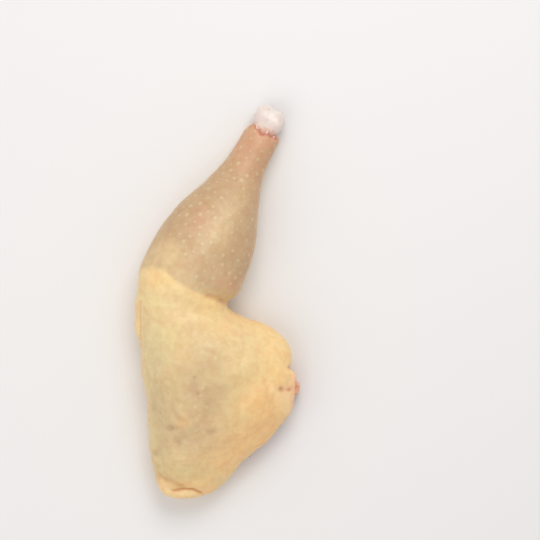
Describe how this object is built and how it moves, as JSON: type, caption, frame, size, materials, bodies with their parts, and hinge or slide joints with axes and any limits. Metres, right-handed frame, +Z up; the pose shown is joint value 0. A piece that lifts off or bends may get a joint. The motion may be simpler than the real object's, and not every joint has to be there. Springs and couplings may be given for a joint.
{
  "type": "raw chicken leg quarter",
  "caption": "Raw chicken leg quarter lying skin side up: broad thigh with its strip of back, folded drumstick, cut back bone and bare hock joint.",
  "frame": {"origin": "on the board that the leg lies on, under the middle of its box", "axes": "+Z up from the board, skin side up; +Y from the cut end of the thigh towards the hock joint; +X towards the cut back bone"},
  "size_m": [0.0896, 0.2134, 0.0465],
  "materials": {
    "skin": "moist raw poultry skin, soft sheen",
    "cut_bone": "sawn raw bone, moist",
    "cartilage": "wet smooth cartilage"
  },
  "bodies": {
    "root": {"leg_quarter": "skin", "back_bone": "cut_bone", "hock_joint": "cartilage"}
  },
  "joints": []
}
